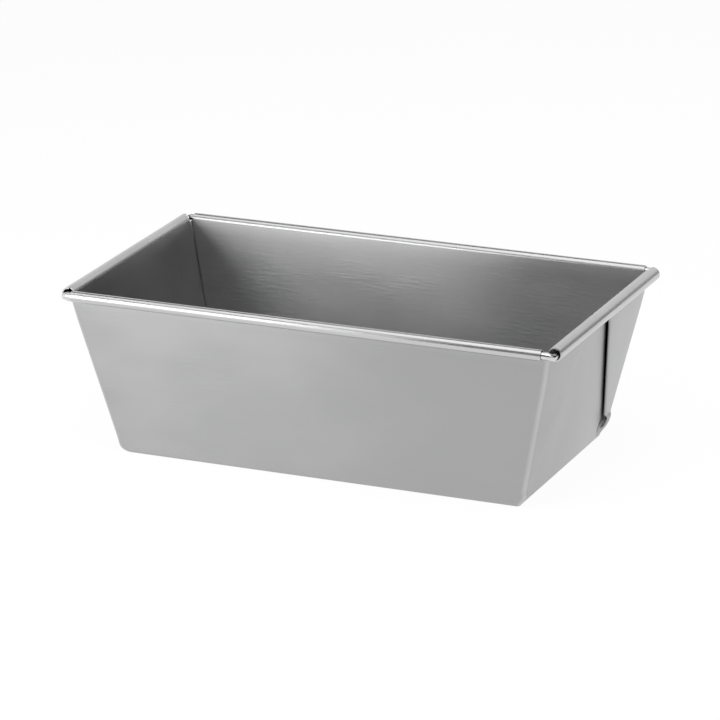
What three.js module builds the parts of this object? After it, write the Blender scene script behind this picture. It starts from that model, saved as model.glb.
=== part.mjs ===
// A mini loaf pan: one sheet of plated steel folded up into a tray, and a wire rolled into its rim.
// The sheet is never cut at the corners. Its spare metal there is folded flat into a pleat that lies on
// the outside of the end wall and is locked under the rim.
// Sizes are in millimetres. X runs along the pan, Y across it, and Z up from the table under its floor.
import * as THREE from "three";

// Driving dimensions
const RIM_LENGTH = 153.8; // over the rolled rim
const RIM_WIDTH = 83.9;
const HEIGHT = 50.6;
const BASE_LENGTH = 123.8; // between the lines where the outer wall faces meet the table
const BASE_WIDTH = 63.7;
const SHEET = 0.4; // thickness of the steel sheet
const FLOOR_BEND = 1; // outside radius between the floor and a wall
const CORNER_BEND = 1.5; // outside radius of an upright corner, where a side wall turns into a pleat
const LEAF_GAP = 0.1; // between the two leaves of a pleat
const PLEAT_GAP = 0.2; // between a pleat and the end wall that it lies on
const TIP_HEIGHT = 4; // height in which a pleat turns over from the floor's plain corner into a flat fold
const TIP_WIDTH = 0.2; // width of a pleat's leaves where it starts
const LEAF_START = 3; // height from which the leaves widen
const WIRE_DIAMETER = 2.2;
const WIRE_CLEARANCE = 0.1; // between the wire and the inside of a side roll
const END_ROLL = 4.1; // outside diameter of an end roll, which closes round the tops of the pleats too
const WIRE_BEND = 1.6; // middle-line radius of the wire at a corner
const WIRE_JOINT = 0.4; // between the two ends of the wire, inside the rear roll
const ROLL_SETBACK = 0.3; // from the end of a flat wall, at a fold or an upright corner, to the cut end of its roll
const SEAM_GAP = 0.15; // between the edge of a roll and the wall or the pleat that it closes on
const NOTCH_GAP = 0.3; // between the wire and the sheet's cut edge under it

// Facets
const BEND_STEPS = 3;
const TIP_STEPS = 8;
const FOLD_STEPS = 6;
const CORNER_STEPS = 5;
const ROLL_STEPS = 8;
const WIRE_SIDES = 12;
const WIRE_BEND_STEPS = 5;

// The rolls, which are level on top, and the wire's place inside them
const halfSheet = SHEET / 2;
const wireRadius = WIRE_DIAMETER / 2;
const sideRollMiddle = wireRadius + WIRE_CLEARANCE + halfSheet; // radii to the middle of the sheet
const endRollMiddle = END_ROLL / 2 - halfSheet;
const wireX = RIM_LENGTH / 2 - endRollMiddle - halfSheet;
const wireY = RIM_WIDTH / 2 - sideRollMiddle - halfSheet;
const wireZ = HEIGHT - sideRollMiddle - halfSheet;
const endRollZ = HEIGHT - endRollMiddle - halfSheet;
const notchZ = wireZ - wireRadius - NOTCH_GAP; // the sheet's cut edge at the corners

// A wall seen edge on. Its outer face rises from baseReach and touches the inside of its roll.
function leaningWall(baseReach, rollReach, rollZ, rollMiddle) {
  const run = rollReach - baseReach;
  const lean = Math.acos((rollMiddle - halfSheet) / Math.hypot(run, rollZ)) - Math.atan2(rollZ, run);
  const bendCentre = baseReach - FLOOR_BEND * Math.tan((Math.PI / 2 - lean) / 2);
  const bendRadius = FLOOR_BEND - halfSheet;
  const foot = baseReach - halfSheet / Math.cos(lean);
  return {
    lean,
    // the middle of the sheet in the bend out of the floor, where the sheet's outer face dips by an angle
    bendAt: (dip) => ({
      dip,
      reach: bendCentre + bendRadius * Math.cos(dip),
      z: FLOOR_BEND - bendRadius * Math.sin(dip),
    }),
    // the middle of the sheet on the flat wall
    flatAt: (z) => ({ dip: lean, reach: foot + z * Math.tan(lean), z }),
  };
}
const endWall = leaningWall(BASE_LENGTH / 2, wireX, endRollZ, endRollMiddle);
const sideWall = leaningWall(BASE_WIDTH / 2, wireY, wireZ, sideRollMiddle);

// The pleat. Folding up both walls leaves a wedge of spare sheet at each corner, and the fold halves it.
const noseRadius = (SHEET + LEAF_GAP) / 2;
const hairpinRadius = (SHEET + PLEAT_GAP) / 2;
const cornerRadius = CORNER_BEND - halfSheet;
const cornerTiltOnEnd = Math.atan(Math.tan(sideWall.lean) * Math.cos(endWall.lean));
const cornerTiltOnSide = Math.atan(Math.tan(endWall.lean) * Math.cos(sideWall.lean));
const leafAngle = (Math.PI / 2 - cornerTiltOnEnd - cornerTiltOnSide) / 2;
const foldTilt = leafAngle - cornerTiltOnEnd;
const leafGrowth = Math.tan(sideWall.lean) + Math.tan(foldTilt) / Math.cos(endWall.lean);

// How far the pleat has turned over at a height, from 0 where the sheet is smooth to pi where it lies flat.
function foldTurn(z) {
  return Math.PI * THREE.MathUtils.smoothstep(z, halfSheet, TIP_HEIGHT);
}

// The width of the pleat's leaves at a height.
function leafWidth(z) {
  return TIP_WIDTH + leafGrowth * Math.max(0, z - LEAF_START);
}

// One step list of bends and straights, walked from the origin with the heading +Y. A bend that turns by
// nothing is a straight of the same length, so every level of the pan has the same points.
function walk(stretches) {
  let heading = Math.PI / 2;
  const at = new THREE.Vector2();
  const points = [{ at: at.clone(), heading }];
  for (const { length, turn = 0, steps = 1 } of stretches) {
    const part = turn / steps;
    const bow = part === 0 ? 1 : Math.sin(part / 2) / (part / 2);
    const chord = (length / steps) * bow;
    for (let step = 0; step < steps; step += 1) {
      const along = heading + part / 2;
      at.add(new THREE.Vector2(Math.cos(along), Math.sin(along)).multiplyScalar(chord));
      heading += part;
      points.push({ at: at.clone(), heading });
    }
  }
  return points;
}

// The middle line of the sheet at one level round the corner between the +X end and the +Y side: round the
// hairpin, out and back along the pleat, and round the upright corner.
function cornerLine(end, side) {
  const turn = foldTurn(end.z);
  const leaf = leafWidth(end.z);
  const pleat = walk([
    { length: Math.PI * hairpinRadius, turn: -turn, steps: FOLD_STEPS },
    { length: leaf },
    { length: Math.PI * noseRadius, turn, steps: FOLD_STEPS },
    { length: leaf },
    { length: (Math.PI / 2) * cornerRadius, turn: Math.PI / 2, steps: CORNER_STEPS },
  ]);
  const rise = side.reach - pleat.at(-1).at.y;
  return pleat.map(({ at, heading }) => ({ x: end.reach + at.x, y: rise + at.y, heading }));
}

// The share of each flat wall that its roll covers, measured at the sheet's cut edge.
const cutLine = cornerLine(endWall.flatAt(notchZ), sideWall.flatAt(notchZ));
const endRollReach = cutLine[0].y - ROLL_SETBACK;
const sideRollReach = cutLine.at(-1).x - ROLL_SETBACK;
const endRollShare = endRollReach / cutLine[0].y;
const sideRollShare = sideRollReach / cutLine.at(-1).x;

// The same line from the middle of the end to the middle of the side.
function quarterLine(end, side) {
  const corner = cornerLine(end, side);
  const first = corner[0];
  const last = corner.at(-1);
  return [
    { ...first, y: 0 },
    { ...first, y: first.y * endRollShare },
    ...corner,
    { ...last, x: last.x * sideRollShare },
    { ...last, x: 0 },
  ];
}

// Both faces of the sheet at one level. Each point takes its height and slope from the end wall, from the
// side wall or, round the upright corner, from a share of each.
function levelFaces(end, side) {
  const line = quarterLine(end, side);
  const cornerStart = line.length - CORNER_STEPS - 3;
  return line.map(({ x, y, heading }, index) => {
    const sideShare = THREE.MathUtils.clamp((index - cornerStart) / CORNER_STEPS, 0, 1);
    const z = THREE.MathUtils.lerp(end.z, side.z, sideShare);
    const outX = Math.sin(heading);
    const outY = -Math.cos(heading);
    const outward = new THREE.Vector3(
      outX * Math.cos(end.dip),
      outY * Math.cos(side.dip),
      -outX * Math.sin(end.dip) - outY * Math.sin(side.dip),
    ).setLength(halfSheet);
    const middle = new THREE.Vector3(x, y, z);
    return { outer: middle.clone().add(outward), inner: middle.clone().sub(outward) };
  });
}

// The levels from the edge of the flat floor up to the sheet's cut edge.
function floorToNotch() {
  const levels = [];
  for (let step = 0; step <= BEND_STEPS; step += 1) {
    const [end, side] = [endWall, sideWall].map((wall) =>
      wall.bendAt(THREE.MathUtils.lerp(Math.PI / 2, wall.lean, step / BEND_STEPS)),
    );
    levels.push(levelFaces(end, side));
  }
  const bendTop = endWall.bendAt(endWall.lean).z;
  for (let step = 1; step <= TIP_STEPS; step += 1) {
    const z = THREE.MathUtils.lerp(bendTop, TIP_HEIGHT, step / TIP_STEPS);
    levels.push(levelFaces(endWall.flatAt(z), sideWall.flatAt(z)));
  }
  levels.push(levelFaces(endWall.flatAt(notchZ), sideWall.flatAt(notchZ)));
  return levels;
}

// Points on an arc round a centre, without its first point.
function arcAfterStart(x, y, radius, from, to, clockwise, steps) {
  const arc = new THREE.EllipseCurve(x, y, radius, radius, from, to, clockwise);
  return arc.getPoints(steps).slice(1);
}

// A roll in section, round its centre: up the wall, over the wire, and under it back towards the wall, until
// its edge stands off the middle of the wall by the sheets between and the gap. The offset is from the middle
// of the sheet to one of its faces.
function rollSection(lean, rollMiddle, between, offset) {
  const radius = rollMiddle + offset;
  const start = Math.PI - lean;
  const open = Math.acos(1 - (between + SEAM_GAP) / rollMiddle);
  const end = start - (2 * Math.PI - open);
  const tangent = new THREE.Vector2(Math.cos(start), Math.sin(start)).multiplyScalar(radius);
  return [tangent, ...arcAfterStart(0, 0, radius, start, end, true, 2 * ROLL_STEPS)];
}

function sideRoll(offset) {
  return rollSection(sideWall.lean, sideRollMiddle, SHEET, offset);
}

function endRoll(offset) {
  return rollSection(endWall.lean, endRollMiddle, 2 * noseRadius + 2 * hairpinRadius + SHEET, offset);
}

// The roll's points above one place on its wall. The pan's outer face turns in towards the wire.
function rollAbove(section, place) {
  const facingWire = section(-halfSheet);
  const facingOut = section(halfSheet);
  return facingWire.map((point, index) => ({ outer: place(point), inner: place(facingOut[index]) }));
}

// A quarter of the sheet as columns of points, from the floor's edge up to the sheet's free edge.
function quarterColumns() {
  const levels = floorToNotch();
  const columns = levels[0].map((_, index) => levels.map((level) => level[index]));
  const overEnd = (y) => rollAbove(endRoll, (p) => new THREE.Vector3(wireX + p.x, y, endRollZ + p.y));
  const overSide = (x) => rollAbove(sideRoll, (p) => new THREE.Vector3(x, wireY + p.x, wireZ + p.y));
  columns[0].push(...overEnd(0));
  columns[1].push(...overEnd(endRollReach));
  columns.at(-2).push(...overSide(sideRollReach));
  columns.at(-1).push(...overSide(0));
  return columns;
}

// The whole sheet, from mirrored quarters in turn round the pan.
function allColumns() {
  const quarter = quarterColumns();
  const back = [...quarter].reverse();
  const turned = (columns, signX, signY) =>
    columns.slice(0, -1).map((column) =>
      column.map(({ outer, inner }) => ({
        outer: new THREE.Vector3(signX * outer.x, signY * outer.y, outer.z),
        inner: new THREE.Vector3(signX * inner.x, signY * inner.y, inner.z),
      })),
    );
  return [
    ...turned(quarter, 1, 1),
    ...turned(back, -1, 1),
    ...turned(quarter, -1, -1),
    ...turned(back, 1, -1),
  ];
}

// A closed sheet from columns of points: its two faces, its free edges, and the flat floor.
function sheetGeometry(columns) {
  const positions = [];
  const faces = [];
  const outer = columns.map(() => []);
  const inner = columns.map(() => []);
  columns.forEach((column, c) =>
    column.forEach((point) => {
      outer[c].push(positions.push(point.outer) - 1);
      inner[c].push(positions.push(point.inner) - 1);
    }),
  );
  const quad = (a, b, c, d) => faces.push(a, b, c, a, c, d);
  columns.forEach((column, a) => {
    const b = (a + 1) % columns.length;
    const shared = Math.min(column.length, columns[b].length);
    for (let row = 0; row < shared - 1; row += 1) {
      quad(outer[a][row], outer[b][row], outer[b][row + 1], outer[a][row + 1]);
      quad(inner[b][row], inner[a][row], inner[a][row + 1], inner[b][row + 1]);
    }
    const top = shared - 1;
    quad(outer[a][top], outer[b][top], inner[b][top], inner[a][top]);
    for (let row = top; row < column.length - 1; row += 1) {
      quad(outer[a][row], inner[a][row], inner[a][row + 1], outer[a][row + 1]);
    }
    for (let row = top; row < columns[b].length - 1; row += 1) {
      quad(inner[b][row], outer[b][row], outer[b][row + 1], inner[b][row + 1]);
    }
  });
  const floorEdge = columns.map((column) => new THREE.Vector2(column[0].outer.x, column[0].outer.y));
  for (const [a, b, c] of THREE.ShapeUtils.triangulateShape(floorEdge, [])) {
    faces.push(outer[a][0], outer[c][0], outer[b][0]);
    faces.push(inner[a][0], inner[b][0], inner[c][0]);
  }
  return new THREE.BufferGeometry().setFromPoints(positions).setIndex(faces);
}

// The wire's middle line: straight runs and round corners, from one side of its joint to the other.
// Each straight run is one step and each bend a few, so the steps are even along the parameter.
class RimLine extends THREE.Curve {
  constructor() {
    super();
    const path = new THREE.Path().moveTo(-WIRE_JOINT / 2, wireY);
    const corners = [
      [-1, 1],
      [-1, -1],
      [1, -1],
      [1, 1],
    ];
    corners.forEach(([signX, signY], index) => {
      const from = Math.PI / 2 + (index * Math.PI) / 2;
      const x = signX * (wireX - WIRE_BEND);
      const y = signY * (wireY - WIRE_BEND);
      path.lineTo(x + WIRE_BEND * Math.cos(from), y + WIRE_BEND * Math.sin(from));
      path.curves.push(new THREE.EllipseCurve(x, y, WIRE_BEND, WIRE_BEND, from, from + Math.PI / 2));
      path.currentPoint.copy(path.curves.at(-1).getPoint(1));
    });
    path.lineTo(WIRE_JOINT / 2, wireY);
    this.runs = path.curves.flatMap((curve) => {
      const steps = curve.isLineCurve ? 1 : WIRE_BEND_STEPS;
      return Array.from({ length: steps }, (_, step) => ({ curve, from: step / steps, share: 1 / steps }));
    });
  }

  getPoint(t, target = new THREE.Vector3()) {
    const place = t * this.runs.length;
    const index = Math.min(Math.floor(place), this.runs.length - 1);
    const { curve, from, share } = this.runs[index];
    const at = curve.getPoint(from + share * (place - index));
    return target.set(at.x, at.y, wireZ);
  }

  getUtoTmapping(u) {
    return u;
  }
}

function wireGeometry() {
  const section = new THREE.Shape().absarc(0, 0, wireRadius, 0, 2 * Math.PI);
  const extrudePath = new RimLine();
  const steps = extrudePath.runs.length;
  return new THREE.ExtrudeGeometry(section, { steps, curveSegments: WIRE_SIDES / 2, extrudePath });
}

// Satin tin-plated sheet, and a brighter drawn wire
const satinPlate = new THREE.MeshStandardMaterial({ color: 0xb9babb, roughness: 0.42, metalness: 1 });
const brightWire = new THREE.MeshStandardMaterial({ color: 0xcfd0d1, roughness: 0.16, metalness: 1 });

function piece(name, geometry, material) {
  const mesh = new THREE.Mesh(geometry, material);
  mesh.name = name;
  return mesh;
}

const pan = new THREE.Group();
pan.add(piece("folded_pan", sheetGeometry(allColumns()), satinPlate));
pan.add(piece("rim_wire", wireGeometry(), brightWire));

export default pan;
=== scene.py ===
import bmesh
import bpy
import numpy as np
from mathutils import Matrix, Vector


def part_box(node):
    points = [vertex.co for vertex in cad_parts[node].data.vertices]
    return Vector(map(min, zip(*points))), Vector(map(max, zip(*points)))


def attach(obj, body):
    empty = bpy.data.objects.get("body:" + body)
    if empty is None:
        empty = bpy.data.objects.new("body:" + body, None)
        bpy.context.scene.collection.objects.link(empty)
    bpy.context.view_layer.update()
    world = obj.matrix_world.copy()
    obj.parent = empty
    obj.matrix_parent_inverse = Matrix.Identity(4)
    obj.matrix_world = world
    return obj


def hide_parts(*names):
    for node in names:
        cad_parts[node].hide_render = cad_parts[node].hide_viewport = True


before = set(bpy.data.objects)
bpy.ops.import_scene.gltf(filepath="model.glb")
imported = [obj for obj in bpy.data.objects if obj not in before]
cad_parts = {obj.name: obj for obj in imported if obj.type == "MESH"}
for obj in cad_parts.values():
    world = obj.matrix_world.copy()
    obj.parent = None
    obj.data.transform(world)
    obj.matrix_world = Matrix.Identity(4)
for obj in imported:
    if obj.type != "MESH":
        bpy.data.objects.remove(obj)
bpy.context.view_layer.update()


# The folded pan: one sheet of tin-plated steel. Its walls are folded up from the floor, the spare metal of
# each corner lies in a flat pleat on the outside of the end wall, and its edge, which is cut away at the
# corners, is rolled out over a wire. Pairs of values are for the ends, along X, and the sides, along Y.
MM = 0.001
HALF_RIM = np.array(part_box("folded_pan")[1])[:2]  # over the rolls
RIM_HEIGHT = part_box("folded_pan")[1].z
HALF_BASE = np.array([123.8, 63.7]) / 2 * MM  # where the outer wall faces meet the table
SHEET = 0.4 * MM  # thickness
FLOOR_BEND = 1.0 * MM  # outside radius between the floor and a wall
CORNER_BEND = 1.5 * MM  # outside radius of an upright corner
LEAF_GAP = 0.1 * MM  # between the two leaves of a pleat
LEAF_LIFT = 0.008  # angle at which a pleat stands off its wall, in radians
PLEAT_GAP = 0.2 * MM  # between a pleat and the end wall, at the fold
TIP_WIDTH = 0.2 * MM  # width of a pleat's leaves where it starts
WIRE_DIAMETER = 2.2 * MM
WIRE_CLEARANCE = 0.1 * MM  # between the wire and the inside of a side roll
END_ROLL = 4.1 * MM  # outside diameter of an end roll, which closes round the tops of the pleats too
SIDE_ROLL_SETBACK = 2.5 * MM  # from an end roll's middle line to the cut end of a side roll
WIRE_SAG = 0.2 * MM  # of the wire, which lies low and to the outside in the wider end rolls
SEAM_GAP = 0.15 * MM  # between the edge of a roll and the wall or the pleat that it closes on
NOTCH_GAP = 0.08 * MM  # between the wire and the sheet's cut edge over a pleat
CUT_RISE = 0.2 * MM  # of the sheet's cut edge where it leaves the pleat

# Each corner as it came off the folding tools, in the order in which the grid passes them. Its pleat lies
# flat from a height, turns over late or early and more or less quickly, and its leaves widen from a height.
# Its foot is rounder or tighter than the corner above and pulled in, up to a height, and the fold is pressed
# into the wall by a dent. The end roll stops short of the side roll's middle line by a setback.
CORNERS = [
    {"signs": (1, 1),  # rear right
     "flat_from": 8.0 * MM, "late": 1.5, "quick": 1.7, "leaves_from": 3.4 * MM, "dent": 0.5 * MM,
     "foot_round": 0.6 * MM, "foot_pull": 0.9 * MM, "foot_height": 7 * MM, "roll_setback": 0.5 * MM},
    {"signs": (-1, 1),  # rear left
     "flat_from": 5.5 * MM, "late": 1.5, "quick": 2.4, "leaves_from": 3.0 * MM, "dent": 0.4 * MM,
     "foot_round": 1.5 * MM, "foot_pull": 0.3 * MM, "foot_height": 6 * MM, "roll_setback": 1.6 * MM},
    {"signs": (-1, -1),  # front left
     "flat_from": 6.4 * MM, "late": 1.0, "quick": 4.0, "leaves_from": 2.9 * MM, "dent": 0.4 * MM,
     "foot_round": 0.8 * MM, "foot_pull": 0.3 * MM, "foot_height": 5 * MM, "roll_setback": 2.4 * MM},
    {"signs": (1, -1),  # front right
     "flat_from": 5.0 * MM, "late": 1.8, "quick": 2.2, "leaves_from": 3.2 * MM, "dent": 0.4 * MM,
     "foot_round": -0.9 * MM, "foot_pull": 0.0, "foot_height": 5 * MM, "roll_setback": 3.2 * MM},
]
DENT_TOP = 11 * MM
DENT_SPREAD = 1.6 * MM  # along the end wall, from the fold
DENT_SCALE = 27 / 4  # one over the greatest value of u (1 - u)^2
LIFT_FADE = 6 * MM  # height under an end roll in which it presses the pleats flat
LEAF_WAIT = 6  # power by which a leaf stays narrow until its fold is shut
ROUND_FADE, PULL_FADE = 3, 2  # powers by which a foot's rounding and its pull fade with height

# The rows of the grid run from the floor's middle line to the roll's edge, and its columns round the pan.
FLOOR_ROWS, BEND_ROWS, TIP_ROWS, WALL_ROWS, ROLL_ROWS = 8, 7, 34, 18, 42
END_COLUMNS, SIDE_COLUMNS, CUT_COLUMNS, OVERHANG_COLUMNS = 16, 20, 3, 6
HAIRPIN_STEPS, LEAF_STEPS, NOSE_STEPS, CORNER_STEPS = 14, 4, 12, 10
TIP_TOP = 10 * MM  # height up to which the rows lie close, for the tips of the pleats
FOLD_CROWDING = 1.6  # power by which the columns of an end wall crowd towards the fold
OVERHANG_FROM = 10  # row of an end roll from which it hangs over the cut

half_sheet = SHEET / 2
wire_radius = WIRE_DIAMETER / 2
roll_middle = np.array([END_ROLL / 2 - half_sheet, wire_radius + WIRE_CLEARANCE + half_sheet])
roll_reach = HALF_RIM - roll_middle - half_sheet
roll_z = RIM_HEIGHT - roll_middle - half_sheet
roll_foot = roll_z[0] - END_ROLL / 2
wire_reach = roll_reach + (WIRE_SAG, 0)
wire_z = roll_z - (WIRE_SAG, 0)
notch_z = wire_z[0] - wire_radius - NOTCH_GAP
wall_run = roll_reach - HALF_BASE
# A wall leans so that its outer face runs into the inside of its roll.
lean = np.arccos((roll_middle - half_sheet) / np.hypot(wall_run, roll_z)) - np.arctan2(roll_z, wall_run)
hairpin_radius = (SHEET + PLEAT_GAP) / 2
nose_radius = (SHEET + LEAF_GAP) / 2
corner_radius = CORNER_BEND - half_sheet
ridge_tilt = np.arctan(np.tan(lean[::-1]) * np.cos(lean))  # of the upright corner, on the end and on the side
fold_tilt = (np.pi / 2 - ridge_tilt.sum()) / 2 - ridge_tilt[0]
leaf_growth = np.tan(lean[1]) + np.tan(fold_tilt) / np.cos(lean[0])


def wall_levels():
    """How far out and how high the sheet's middle is, on the end and on the side, at each level from the
    floor's edge to the notch: an arc of the floor bend's radius, and then a straight line with the wall's
    lean, closely divided up to the top of the pleats' tips."""
    bend_radius = FLOOR_BEND - half_sheet
    dip = np.linspace(np.pi / 2, lean, BEND_ROWS + 1).T
    bend_centre = HALF_BASE - FLOOR_BEND * np.tan((np.pi / 2 - lean) / 2)
    bend_reach = bend_centre[:, None] + bend_radius * np.cos(dip)
    bend_height = FLOOR_BEND - bend_radius * np.sin(dip)
    tip_height = np.linspace(bend_height[0, -1], TIP_TOP, TIP_ROWS + 1)[1:]
    wall_height = np.linspace(TIP_TOP, notch_z, WALL_ROWS + 1)[1:]
    flat_height = np.tile(np.concatenate([tip_height, wall_height]), (2, 1))
    foot = HALF_BASE - half_sheet / np.cos(lean)
    flat_reach = foot[:, None] + flat_height * np.tan(lean)[:, None]
    return np.hstack([bend_reach, flat_reach]), np.hstack([bend_height, flat_height])


def roll_sections():
    """The sheet's middle line over the wire in section, round the roll's centre, and the direction of its
    outer face, which looks at the wire, on the end and on the side: one arc from the wall, over the wire and
    under it, until its edge stands off the wall, or the pleats on it, by a small gap."""
    between = SHEET + np.array([2 * nose_radius + 2 * hairpin_radius, 0])
    opening = np.arccos(1 - (between + SEAM_GAP) / roll_middle)
    angle = (np.pi - lean)[:, None] - np.linspace(0, 2 * np.pi - opening, ROLL_ROWS).T
    face = -np.stack([np.cos(angle), np.sin(angle)], -1)
    return -roll_middle[:, None, None] * face, face


def dent_depth(height, corner):
    """How far a corner's fold is pressed in at each height: u (1 - u)^2 from just above the floor to the
    dent's top, scaled to the dent's depth at its deepest."""
    u = np.clip((height - SHEET) / (DENT_TOP - SHEET), 0, 1)
    return corner["dent"] * DENT_SCALE * u * (1 - u) ** 2


def pleat_walk(height, corner):
    """The sheet's middle line round a corner at each level, as a walk of short chords that starts along +Y:
    a hairpin turns by minus the fold's angle, a leaf runs straight, the nose turns back by the same angle,
    the second leaf runs straight, and the upright corner turns by a right angle, on a radius of its own at
    the foot. The fold's angle grows over the tip from nothing to half a turn by 1 - (1 - t^late)^quick."""
    t = np.clip((height - half_sheet) / (corner["flat_from"] - half_sheet), 0, 1)
    lift = LEAF_LIFT * np.clip((roll_foot - height) / LIFT_FADE, 0, 1)
    shut = 1 - (1 - t ** corner["late"]) ** corner["quick"]
    turn = (np.pi - lift) * shut
    leaf = TIP_WIDTH + leaf_growth * np.maximum(0, height - corner["leaves_from"]) * shut ** LEAF_WAIT
    dent = dent_depth(height, corner)
    low = np.clip(1 - height / corner["foot_height"], 0, 1)
    radius = corner_radius + corner["foot_round"] * low ** ROUND_FADE
    even, none = np.ones_like(height), np.zeros_like(height)
    steps = [HAIRPIN_STEPS, LEAF_STEPS, NOSE_STEPS, LEAF_STEPS, CORNER_STEPS]
    hairpin, nose = np.pi * (hairpin_radius + dent / 2), np.pi * nose_radius * even
    lengths = [hairpin, leaf, nose, leaf, np.pi / 2 * radius]
    turns = [-turn, none, turn, none, np.pi / 2 * even]
    length = np.repeat(np.stack(lengths, -1) / steps, steps, axis=-1)
    bend = np.repeat(np.stack(turns, -1) / steps, steps, axis=-1)
    along = np.pi / 2 + np.cumsum(bend, -1) - bend / 2
    chord = length * np.sinc(bend / (2 * np.pi))
    start = np.zeros((len(height), 1))
    across = np.hstack([start, np.cumsum(chord * np.cos(along), -1)]) - dent[:, None]
    onward = np.hstack([start, np.cumsum(chord * np.sin(along), -1)])
    return across, onward


# Where the columns of the grid stand along each wall, as shares of its half length: closer towards the fold
# on an end, and with one at the cut end of the roll on a side.
notch_reach = HALF_BASE - half_sheet / np.cos(lean) + notch_z * np.tan(lean)
end_half = notch_reach[1] - corner_radius
side_half = notch_reach[0] + 2 * hairpin_radius + 2 * nose_radius - corner_radius
side_roll_share = (roll_reach[0] - SIDE_ROLL_SETBACK) / side_half
end_share = 1 - np.linspace(1, 0, END_COLUMNS + 1)[:-1] ** FOLD_CROWDING
side_share = np.concatenate([np.linspace(1, side_roll_share, CUT_COLUMNS + 1)[1:],
                             np.linspace(side_roll_share, 0, SIDE_COLUMNS + 1)[1:]])


def pan_quarter(corner):
    """The middle of the sheet on the quarter between the +X end and the +Y side, from the middle of the floor
    to the notch: rings that shrink evenly onto the floor's middle line, and then the levels of the walls. The
    end wall follows the fold's dent by a bell curve of the distance from the fold, and the foot of the
    upright corner is pulled in by a squared sine across it."""
    reach, height = wall_levels()
    across, onward = pleat_walk(height[0], corner)
    corner_x = reach[0][:, None] + across
    corner_y = reach[1][:, None] - onward[:, -1:] + onward
    end_y = corner_y[:, :1] * end_share
    from_fold = corner_y[:, :1] - end_y
    dent = dent_depth(height[0], corner)[:, None] * np.exp(-(from_fold / DENT_SPREAD) ** 2)
    x = np.hstack([reach[0][:, None] - dent, corner_x, corner_x[:, -1:] * side_share])
    y = np.hstack([end_y, corner_y, np.repeat(corner_y[:, -1:], len(side_share), 1)])
    past_pleat = np.arange(x.shape[1]) - (x.shape[1] - len(side_share) - 1 - CORNER_STEPS)
    to_side = np.clip(past_pleat / CORNER_STEPS, 0, 1)
    z = height[0][:, None] * (1 - to_side) + height[1][:, None] * to_side
    low = np.clip(1 - z / corner["foot_height"], 0, 1)
    pull = corner["foot_pull"] * low ** PULL_FADE * np.sin(np.pi * to_side) ** 2
    turn = np.pi / 2 * to_side
    walls = np.stack([x - pull * np.cos(turn), y - pull * np.sin(turn), z], -1)
    edge = walls[:1]
    middle_line = edge * (1, 0, 1)
    middle_line[..., 0] = np.clip(edge[..., 0], 0, reach[0, 0] - reach[1, 0])
    share = np.linspace(0, 1, FLOOR_ROWS + 1)[:-1, None, None]
    return np.concatenate([middle_line + share * (edge - middle_line), walls])


def roll_quarter(quarter, corner):
    """The rolls above a quarter's columns and the direction of their outer face: each section carried
    straight along its wire. Columns round the corner, where the rim is cut away, hold no number above the
    sheet's edge, which rises inside the wire towards the side roll. The end roll's last columns hang over
    the cut, and there it starts near its top, so that the wire can leave it. Where it stops before the fold,
    nothing hangs over, and its end slants back over the same first rows."""
    line, face = np.full((2, ROLL_ROWS, quarter.shape[1], 3), np.nan)
    (end_line, side_line), (end_face, side_face) = roll_sections()
    stop = roll_reach[1] - corner["roll_setback"]
    short = np.clip(np.arange(ROLL_ROWS) / OVERHANG_FROM, 0, 1)[:, None] * min(stop - end_half, 0)
    hanging = np.tile(np.linspace(end_half, stop, OVERHANG_COLUMNS + 1), (ROLL_ROWS, 1))[:, 1:]
    along_end = np.hstack([np.append(end_share, 1) * (end_half + short), hanging])
    along_side = side_share[-SIDE_COLUMNS - 1:] * side_half
    ends, sides = along_end.shape[1], len(along_side)
    line[:, :ends, 0] = roll_reach[0] + end_line[:, :1]
    line[:, :ends, 1] = along_end
    line[:, :ends, 2] = roll_z[0] + end_line[:, 1:]
    line[:, -sides:, 0] = along_side
    line[:, -sides:, 1] = roll_reach[1] + side_line[:, :1]
    line[:, -sides:, 2] = roll_z[1] + side_line[:, 1:]
    open_rows = OVERHANG_FROM if stop >= end_half else ROLL_ROWS
    line[:open_rows, ends - OVERHANG_COLUMNS:ends] = np.nan
    cut = slice(-len(side_share) - 1 - CORNER_STEPS, -sides)
    up = quarter[-1, cut] - quarter[-2, cut]
    rise = np.linspace(CUT_RISE, roll_z[1] - notch_z, len(up))[:, None]
    line[0, cut] = quarter[-1, cut] + rise * up / up[:, 2:]
    face[:, :ends] = np.stack([end_face[:, 0], 0 * end_face[:, 0], end_face[:, 1]], -1)[:, None]
    face[:, -sides:] = np.stack([0 * side_face[:, 0], side_face[:, 0], side_face[:, 1]], -1)[:, None]
    return line, face


def round_the_pan(quarters):
    """Joins four quarters, each mirrored into its corner, into one ring of columns. Every second quarter runs
    backwards, and a column in which two quarters meet is kept once."""
    rear_right, rear_left, front_left, front_right = [
        quarter * (*corner["signs"], 1) for quarter, corner in zip(quarters, CORNERS)]
    return np.concatenate([rear_right[:, :-1], rear_left[:, :0:-1],
                           front_left[:, :-1], front_right[:, :0:-1]], axis=1)


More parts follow.
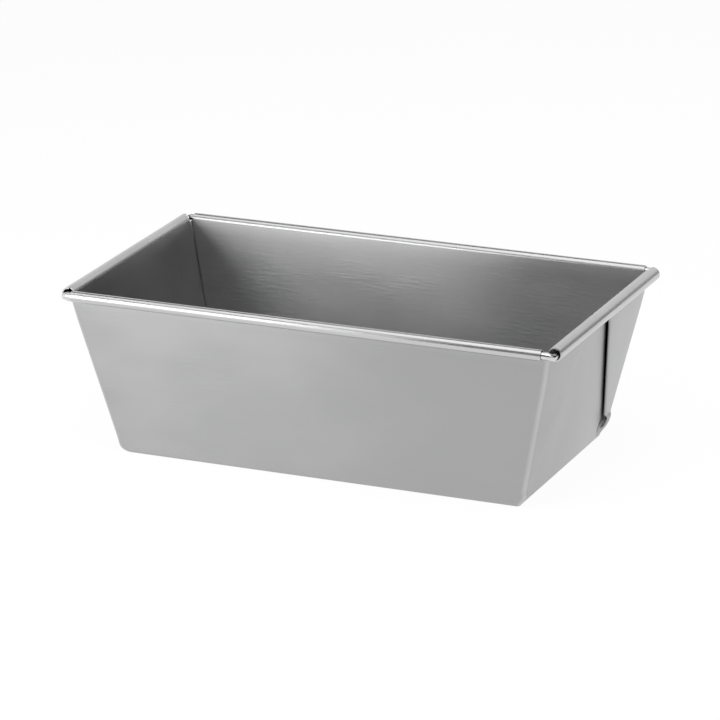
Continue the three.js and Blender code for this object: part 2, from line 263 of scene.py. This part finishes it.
def closed_sheet(middle, outward, present):
    """Both faces of a sheet, half its thickness from its middle, as quads between neighbouring rows and
    columns of a ring, with quads across its free edges."""
    rows, columns = present.shape
    index = np.arange(rows * columns).reshape(rows, columns)
    after = np.roll(index, -1, axis=1)
    other = rows * columns
    filled = present & np.roll(present, -1, axis=1)
    filled = filled[:-1] & filled[1:]
    outer = np.stack([index[:-1], after[:-1], after[1:], index[1:]], -1)
    top = filled & ~np.vstack([filled[1:], np.zeros((1, columns), bool)])
    top_edge = np.stack([index[1:], after[1:], after[1:] + other, index[1:] + other], -1)
    foot = filled & ~np.vstack([np.ones((1, columns), bool), filled[:-1]])
    foot_edge = np.stack([index[:-1], index[:-1] + other, after[:-1] + other, after[:-1]], -1)
    before = np.roll(filled, 1, axis=1)
    upright = np.stack([index[:-1], index[:-1] + other, index[1:] + other, index[1:]], -1)
    faces = np.concatenate([outer[filled], outer[filled][:, ::-1] + other, top_edge[top], foot_edge[foot],
                            upright[before & ~filled], upright[filled & ~before][:, ::-1]])
    points = np.concatenate([(middle + half_sheet * outward).reshape(-1, 3),
                             (middle - half_sheet * outward).reshape(-1, 3)])
    return points, faces


JOIN_WITHIN = 0.005 * MM
SHARP_FROM = np.radians(40)  # angle between two faces above which their edge is drawn sharp


def add_piece(name, points, faces, attributes):
    """A mesh object at the origin from arrays of points and faces, with each attribute's value or place at
    every point. Points that no face uses are left out, and points that meet are joined."""
    used, faces = np.unique(faces, return_inverse=True)
    mesh = bpy.data.meshes.new(name)
    mesh.from_pydata(points[used].tolist(), [], faces.reshape(-1, 4).tolist())
    for label, values in attributes.items():
        kind, field = ("FLOAT_VECTOR", "vector") if values.ndim == 2 else ("FLOAT", "value")
        layer = mesh.attributes.new(label, kind, "POINT")
        layer.data.foreach_set(field, values[used].astype(np.float32).ravel())
    joined = bmesh.new()
    joined.from_mesh(mesh)
    bmesh.ops.remove_doubles(joined, verts=joined.verts, dist=JOIN_WITHIN)
    joined.to_mesh(mesh)
    joined.free()
    mesh.shade_smooth()
    mesh.set_sharp_from_angle(angle=SHARP_FROM)
    piece = bpy.data.objects.new(name, mesh)
    bpy.context.scene.collection.objects.link(piece)
    return piece


def blank_quarter(quarter):
    """Where a quarter's points lay on the flat blank: on the floor where they are, on a wall out from the
    floor's edge by the length of sheet below them, and on a pleat's leaf out from the wall that the leaf runs
    into by the length of sheet between. An overhang of the end roll runs straight on from its last column."""
    quarter = np.nan_to_num(quarter)
    raised = np.arange(len(quarter))[:, None] > FLOOR_ROWS
    climb = np.linalg.norm(np.diff(quarter, axis=0, prepend=quarter[:1]), axis=-1)
    climb = np.cumsum(np.where(raised, climb, 0), axis=0)[FLOOR_ROWS:]
    blank = quarter * (1, 1, 0)
    end, side = len(end_share), -len(side_share) - 1
    blank[FLOOR_ROWS:, :end + 1, 0] = quarter[FLOOR_ROWS, :end + 1, 0] + climb[:, :end + 1]
    blank[FLOOR_ROWS:, side:, 1] = quarter[FLOOR_ROWS, side:, 1] + climb[:, side:]
    corner = quarter[FLOOR_ROWS:, end:side + 1]
    step = np.linalg.norm(np.diff(corner, axis=1, prepend=corner[:, :1]), axis=-1)
    walked = np.cumsum(step, axis=1)[..., None]
    from_end = blank[FLOOR_ROWS:, end, None] + walked * (0, 1, 0)
    from_side = blank[FLOOR_ROWS:, side, None] + (walked[:, -1:] - walked) * (1, 0, 0)
    past_leaf = np.arange(corner.shape[1]) - HAIRPIN_STEPS - LEAF_STEPS
    over_nose = np.clip(past_leaf / NOSE_STEPS, 0, 1)[None, :, None]
    blank[FLOOR_ROWS:, end:side + 1] = (1 - over_nose) * from_end + over_nose * from_side
    overhang = slice(end + 1, end + 1 + OVERHANG_COLUMNS)
    hanging = quarter[-ROLL_ROWS:, overhang] - quarter[-ROLL_ROWS:, end, None]
    blank[-ROLL_ROWS:, overhang] = blank[-ROLL_ROWS:, end, None] + hanging * (0, 1, 0)
    return blank


quarters = [pan_quarter(corner) for corner in CORNERS]
rolls = [roll_quarter(*both) for both in zip(quarters, CORNERS)]
walls = round_the_pan(quarters)
along = np.roll(walls, -1, axis=1) - np.roll(walls, 1, axis=1)
facing = np.cross(along, np.gradient(walls, axis=0))[FLOOR_ROWS + 1:]
facing /= np.linalg.norm(facing, axis=-1, keepdims=True)
under = np.broadcast_to((0.0, 0.0, -1.0), walls[:FLOOR_ROWS + 1].shape)
over_wire = round_the_pan([face for _, face in rolls])
over_wire[0] = np.where(np.isnan(over_wire[0]), facing[-1], over_wire[0])
outward = np.concatenate([under, facing, over_wire])
quarters = [np.concatenate([quarter, line]) for quarter, (line, _) in zip(quarters, rolls)]
middle = round_the_pan(quarters)
blank = round_the_pan([blank_quarter(quarter) for quarter in quarters])
points, faces = closed_sheet(middle, outward, ~np.isnan(middle[..., 0]))

# The tools rub the plate brighter where they bend it: on the rolls and on the upright corners. The same mask
# paints a highlight there too, a lighter colour that stands in for the light these bends catch.
ROLL_RUB_AND_HIGHLIGHT_ROWS = 4  # over which the rub and its painted highlight come in, half of them below the roll
row = np.arange(len(middle))
roll_from = len(middle) - ROLL_ROWS
roll_rub_and_highlight = np.clip((row - roll_from + ROLL_RUB_AND_HIGHLIGHT_ROWS / 2) / ROLL_RUB_AND_HIGHLIGHT_ROWS, 0, 1)
bend_rub_and_highlight = np.zeros(quarters[0].shape[1])
bend_rub_and_highlight[-len(side_share) - CORNER_STEPS:-len(side_share)] = np.sin(np.pi * np.linspace(0, 1, CORNER_STEPS))
bend_rub_and_highlight = np.concatenate([bend_rub_and_highlight[:-1], bend_rub_and_highlight[:0:-1]] * 2)
rubbed_and_highlit = np.maximum(roll_rub_and_highlight[:, None], bend_rub_and_highlight * (row > FLOOR_ROWS)[:, None])
folded_pan = add_piece("folded_pan_sheet", points, faces, {
    "blank": np.tile(blank.reshape(-1, 3), (2, 1)), "rubbed_and_highlit": np.tile(rubbed_and_highlit.ravel(), 2)})

# A face takes the finish of the floor, of the walls or of the rolls, by the rows of its corners.
rows_of_face = np.tile(np.repeat(row, middle.shape[1]), 2)[faces]
folded_up = (rows_of_face > FLOOR_ROWS).any(axis=1)
rolled = (rows_of_face >= roll_from).all(axis=1)
folded_pan.data.polygons.foreach_set("material_index", folded_up.astype(np.int32) + rolled)


class Shade:
    """A socket in a material. Sums, differences and products of sockets and numbers add Math nodes."""

    def __init__(self, tree, socket=None):
        self.tree, self.socket = tree, socket

    def node(self, kind, inputs, output=0, **settings):
        """Adds a node, makes its settings, then gives its sockets, by name or number, values or links."""
        made = self.tree.nodes.new(kind)
        for name, value in settings.items():
            setattr(made, name, value)
        for name, value in inputs.items():
            if isinstance(value, Shade):
                self.tree.links.new(value.socket, made.inputs[name])
            else:
                made.inputs[name].default_value = value
        return Shade(self.tree, made.outputs[output] if made.outputs else None)

    def math(self, operation, first, second):
        """Adds a Math node on two sockets or numbers."""
        return self.node("ShaderNodeMath", {0: first, 1: second}, operation=operation)

    def __add__(self, other):
        return self.math("ADD", self, other)

    def __sub__(self, other):
        return self.math("SUBTRACT", self, other)

    def __rsub__(self, other):
        return self.math("SUBTRACT", other, self)

    def __mul__(self, other):
        return self.math("MULTIPLY", self, other)

    __radd__, __rmul__ = __add__, __mul__


def new_finish(name):
    """An empty material and its node tree."""
    finish = bpy.data.materials.new(name)
    finish.use_nodes = True
    finish.node_tree.nodes.clear()
    return finish, Shade(finish.node_tree)


def noise(place, length, width, detail=2.0):
    """Noise with features of about the given length along the first axis of a place and width across it."""
    scale = (1 / length, 1 / width, 1 / width)
    stretched = place.node("ShaderNodeMapping", {"Vector": place, "Scale": scale})
    return place.node("ShaderNodeTexNoise", {"Vector": stretched, "Scale": 1.0, "Detail": detail})


def step_up(value, low, high):
    """A smooth step from 0 at the low value to 1 at the high one."""
    return value.node("ShaderNodeMapRange", {"Value": value, "From Min": low, "From Max": high},
                      interpolation_type="SMOOTHSTEP")


def blend(share, first, second):
    """A colour between two: the first at a share of 0, the second at 1."""
    return share.node("ShaderNodeMix", {0: share, 6: first, 7: second}, output=2, data_type="RGBA")


def grooved(height, depth):
    """The direction of a surface that rises by the depth where the height goes from 0 to 1."""
    return height.node("ShaderNodeBump", {"Height": height, "Distance": depth, "Strength": 1.0})


PLATE_DULL, PLATE_CLEAR = (0.40, 0.401, 0.404, 1), (0.468, 0.468, 0.47, 1)
# The colour of the rubbed bends, lighter than the plate: partly rubbed metal, partly a painted highlight.
PLATE_RUBBED_AND_HIGHLIT = (0.61, 0.61, 0.612, 1)
PLATE_ZONES = [
    {"name": "satin_plate_floor", "stretch": 0.0, "roughness": 0.3, "ripple_height": 0.03 * MM},
    {"name": "satin_plate_walls", "stretch": 0.85, "roughness": 0.3, "ripple_height": 0.065 * MM},
    {"name": "satin_plate_rolls", "stretch": 0.0, "roughness": 0.18, "ripple_height": 0.04 * MM},
]
UP_AND_DOWN = 0.25  # of a turn, which lays the stretch of a reflection up and down the walls


def satin_tin_plate(name, stretch, roughness, ripple_height):
    """Satin tin plate: a cloudy tone, fine ripples, grain and streaks along the rolling direction, X on the
    blank, and rubbed bends, whose lighter colour is partly rub and partly a painted highlight. The stretch
    of its reflections, its least roughness and the height of its ripples differ from zone to zone of the pan."""
    finish, plate = new_finish(name)
    on_blank = plate.node("ShaderNodeAttribute", {}, output="Vector", attribute_name="blank")
    rubbed_and_highlit = plate.node("ShaderNodeAttribute", {}, output="Fac", attribute_name="rubbed_and_highlit")
    clouds = step_up(noise(on_blank, length=45 * MM, width=22 * MM), low=0.3, high=0.7)
    patches = step_up(noise(on_blank, length=30 * MM, width=18 * MM), low=0.45, high=0.65)
    ripple = noise(on_blank, length=6 * MM, width=0.7 * MM, detail=3.0)
    grain = noise(on_blank, length=9 * MM, width=0.25 * MM)
    streaks = step_up(noise(on_blank, length=40 * MM, width=0.5 * MM), low=0.58, high=0.8)
    # The rubbed bends blend to the lighter rubbed colour, which also paints in their highlight.
    worn_and_highlit = 0.8 * rubbed_and_highlit
    tint = blend(0.5 * clouds + 0.3 * grain + 0.2 * streaks, PLATE_DULL, PLATE_CLEAR)
    height = (0.3 + 0.7 * patches) * (1 - worn_and_highlit) * ripple + 0.1 * grain + 0.05 * streaks
    metal = plate.node("ShaderNodeBsdfPrincipled", {
        "Base Color": blend(worn_and_highlit, tint, PLATE_RUBBED_AND_HIGHLIT), "Metallic": 1.0,
        "Roughness": roughness + 0.06 * clouds + 0.04 * streaks + 0.07 * rubbed_and_highlit,
        "Normal": grooved(height, ripple_height),
        "Anisotropic": stretch, "Anisotropic Rotation": UP_AND_DOWN})
    plate.node("ShaderNodeOutputMaterial", {"Surface": metal})
    return finish


for zone in PLATE_ZONES:
    folded_pan.data.materials.append(satin_tin_plate(**zone))
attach(folded_pan, "root")
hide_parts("folded_pan")


# The rim wire: one drawn and bent steel wire that stiffens the rim. The rolls close round it, and it shows
# only at the four cut corners, where it droops into the end rolls. Its two ends meet inside the rear roll.
WIRE_BEND = 1.4 * MM  # middle-line radius at a corner
WIRE_JOINT = 0.4 * MM  # between the two ends
WIRE_BEND_STEPS, WIRE_SIDES = 18, 28
WIRE_DULL, WIRE_BRIGHT = (0.60, 0.60, 0.60, 1), (0.74, 0.74, 0.75, 1)
DIE_LINE_HEIGHT = 0.004 * MM


def wire_tube():
    """A circle carried along a rectangle with round corners: four arcs, joined by straights, and two flat
    ends. It sags from the side rolls' middle into the end rolls by the square of its outward X. Each point
    also has a place on the straight wire, along it and across it."""
    turn = np.pi / 2 * (1 + np.arange(4)[:, None] + np.linspace(0, 1, WIRE_BEND_STEPS + 1))
    out = np.stack([np.cos(turn), np.sin(turn)], -1)
    centre = np.array([(-1, 1), (-1, -1), (1, -1), (1, 1)]) * (wire_reach - WIRE_BEND)
    bends = (centre[:, None] + WIRE_BEND * out).reshape(-1, 2)
    joint = np.array([(-WIRE_JOINT / 2, wire_reach[1]), (WIRE_JOINT / 2, wire_reach[1])])
    path = np.concatenate([joint[:1], bends, joint[1:]])
    out = np.concatenate([[(0, 1)], out.reshape(-1, 2), [(0, 1)]])
    angle = 2 * np.pi * np.arange(WIRE_SIDES) / WIRE_SIDES
    radius = np.array([0] + [wire_radius] * len(path) + [0])[:, None]
    path, out = np.pad(path, ((1, 1), (0, 0)), "edge"), np.pad(out, ((1, 1), (0, 0)), "edge")
    flat = path[:, None] + (radius * np.cos(angle))[..., None] * out[:, None]
    height = wire_z[1] + (wire_z[0] - wire_z[1]) * out[:, :1] ** 2
    ring = np.dstack([flat, height + radius * np.sin(angle)])
    index = np.arange(ring.shape[0] * WIRE_SIDES).reshape(-1, WIRE_SIDES)
    after = np.roll(index, -1, axis=1)
    walked = np.cumsum(np.linalg.norm(np.diff(path, axis=0, prepend=path[:1]), axis=-1))
    place = np.broadcast_arrays(walked[:, None], wire_radius * np.cos(angle), wire_radius * np.sin(angle))
    faces = np.stack([index[:-1], index[1:], after[1:], after[:-1]], -1).reshape(-1, 4)
    return ring.reshape(-1, 3), faces, np.stack(place, -1).reshape(-1, 3)


def bright_drawn_wire():
    """Bright drawn wire: fine lines along it, left by the drawing die, and small clouds in its tone."""
    finish, wire = new_finish("bright_drawn_wire")
    on_wire = wire.node("ShaderNodeAttribute", {}, output="Vector", attribute_name="drawn")
    lines = noise(on_wire, length=4 * MM, width=0.15 * MM)
    clouds = noise(on_wire, length=5 / 3 * MM, width=5 / 3 * MM)
    metal = wire.node("ShaderNodeBsdfPrincipled", {
        "Base Color": blend(0.7 * clouds + 0.3 * lines, WIRE_DULL, WIRE_BRIGHT), "Metallic": 1.0,
        "Roughness": 0.07 + 0.06 * clouds + 0.05 * lines, "Normal": grooved(lines, DIE_LINE_HEIGHT)})
    wire.node("ShaderNodeOutputMaterial", {"Surface": metal})
    return finish


points, faces, drawn_place = wire_tube()
rim_wire = add_piece("rim_wire_drawn", points, faces, {"drawn": drawn_place})
rim_wire.data.materials.append(bright_drawn_wire())
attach(rim_wire, "root")
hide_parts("rim_wire")


# The studio: a plain white sweep under and behind the pan, a large soft light above it, a small bright one at
# the front on the left, a small one on the left and a wide, weak one on the right. The rest of the room is
# dark, as polished metal shows all of it.
SWEEP_REACH = 3.0
BACKDROP_REACH = 0.85 * SWEEP_REACH
BACKDROP_HEIGHT = 2.2
BACKDROP_TURN = np.radians(np.linspace(153, 250, 25))  # from the front, by the right and round the back
PAPER = (0.85, 0.85, 0.85, 1)
GLOW, GLOW_SHARE = 1.04, 0.9  # of the sweep, to the camera and in reflections
ROOM = (0.05, 0.05, 0.05, 1)


def white_paper():
    """White paper that takes the pan's shadow. To the camera and in reflections it is mostly a plain glow."""
    finish, sweep = new_finish("white_sweep")
    camera_ray, glossy_ray, transmission_ray = [
        sweep.node("ShaderNodeLightPath", {}, output=kind)
        for kind in ("Is Camera Ray", "Is Glossy Ray", "Is Transmission Ray")]
    seen = sweep.math("MINIMUM", camera_ray + glossy_ray + transmission_ray, 1.0)
    paper = sweep.node("ShaderNodeBsdfDiffuse", {"Color": PAPER})
    glow = sweep.node("ShaderNodeEmission", {"Color": (1, 1, 1, 1), "Strength": GLOW})
    surface = sweep.node("ShaderNodeMixShader", {0: GLOW_SHARE * seen, 1: paper, 2: glow})
    sweep.node("ShaderNodeOutputMaterial", {"Surface": surface})
    return finish


def add_stage(name, points, faces, paper):
    """A stage surface of the sweep's paper from arrays of points and faces."""
    mesh = bpy.data.meshes.new(name)
    mesh.from_pydata(points.reshape(-1, 3).tolist(), [], faces.reshape(-1, 4).tolist())
    mesh.materials.append(paper)
    stage = bpy.data.objects.new(name, mesh)
    bpy.context.scene.collection.objects.link(stage)


sweep_paper = white_paper()
floor = np.array([(-1, -1, 0), (1, -1, 0), (1, 1, 0), (-1, 1, 0)]) * SWEEP_REACH
add_stage("floor", floor, np.arange(4), sweep_paper)
foot = np.stack([np.sin(BACKDROP_TURN), -np.cos(BACKDROP_TURN), 0 * BACKDROP_TURN], -1) * BACKDROP_REACH
post = np.arange(len(foot) - 1)
add_stage("backdrop", np.concatenate([foot, foot + (0, 0, BACKDROP_HEIGHT)]),
          np.stack([post, post + 1, post + 1 + len(foot), post + len(foot)], -1), sweep_paper)

world = bpy.data.worlds.new("studio")
world.use_nodes = True
world.node_tree.nodes["Background"].inputs["Color"].default_value = ROOM
bpy.context.scene.world = world


def seen_from(azimuth, elevation):
    """The level direction to the right and the direction back from the pan, for a view of it from an azimuth,
    counted from the front towards the right, and an elevation."""
    level = np.array([np.cos(azimuth), np.sin(azimuth), 0])
    away = np.array([np.sin(azimuth), -np.cos(azimuth), 0])
    return level, away * np.cos(elevation) + (0, 0, np.sin(elevation))


def put_up(name, data, right, back, at):
    """A lamp or a camera at a place, which looks away from its back with its right side to the right."""
    stand = bpy.data.objects.new(name, data)
    axes = np.column_stack([right, np.cross(back, right), back, at])
    stand.matrix_world = Matrix(np.vstack([axes, (0, 0, 0, 1)]))
    bpy.context.scene.collection.objects.link(stand)
    return stand


def soft_light(name, azimuth, elevation, distance, size, radiance):
    """A rectangular soft light that faces the pan's middle, with a face of the given radiance: its power is
    the radiance times pi times its area."""
    level, back = seen_from(*np.radians([azimuth, elevation]))
    lamp = bpy.data.lights.new(name, "AREA")
    lamp.shape = "RECTANGLE"
    lamp.size, lamp.size_y = size
    lamp.energy = radiance * np.pi * size[0] * size[1]
    put_up(name, lamp, level, back, back * distance + (0, 0, RIM_HEIGHT / 2))


soft_light("overhead_light", azimuth=34, elevation=76, distance=0.75, size=(1.2, 1.2), radiance=1.5)
soft_light("front_left_light", azimuth=-34, elevation=16, distance=0.3, size=(0.145, 0.19), radiance=2.8)
soft_light("left_light", azimuth=-70, elevation=18, distance=0.3, size=(0.24, 0.2), radiance=1.0)
soft_light("right_light", azimuth=80, elevation=28, distance=1.0, size=(0.9, 0.9), radiance=0.6)

# The camera: a long lens from the front and the right, a little above the rim.
AZIMUTH, ELEVATION, ROLL = np.radians([24.3158, 19.04435, -1.03543])
DISTANCE = 1.293198
FOCAL_PIXELS = 4472.465
PICTURE = 720
SENSOR_WIDTH = 36  # in millimetres, as the lens is
AIM = np.array([0, 0, 0.028])
AIM_PIXEL = np.array([361.512, 352.525])
level, back = seen_from(AZIMUTH, ELEVATION)
right = np.cos(ROLL) * level + np.sin(ROLL) * np.cross(back, level)
aside, below = (AIM_PIXEL - PICTURE / 2) * DISTANCE / FOCAL_PIXELS
eye = AIM + back * DISTANCE - right * aside + np.cross(back, right) * below
lens = bpy.data.cameras.new("camera")
lens.sensor_width = SENSOR_WIDTH
lens.lens = FOCAL_PIXELS * SENSOR_WIDTH / PICTURE
bpy.context.scene.camera = put_up("camera", lens, right, back, eye)

bpy.context.scene.view_settings.view_transform = "Standard"
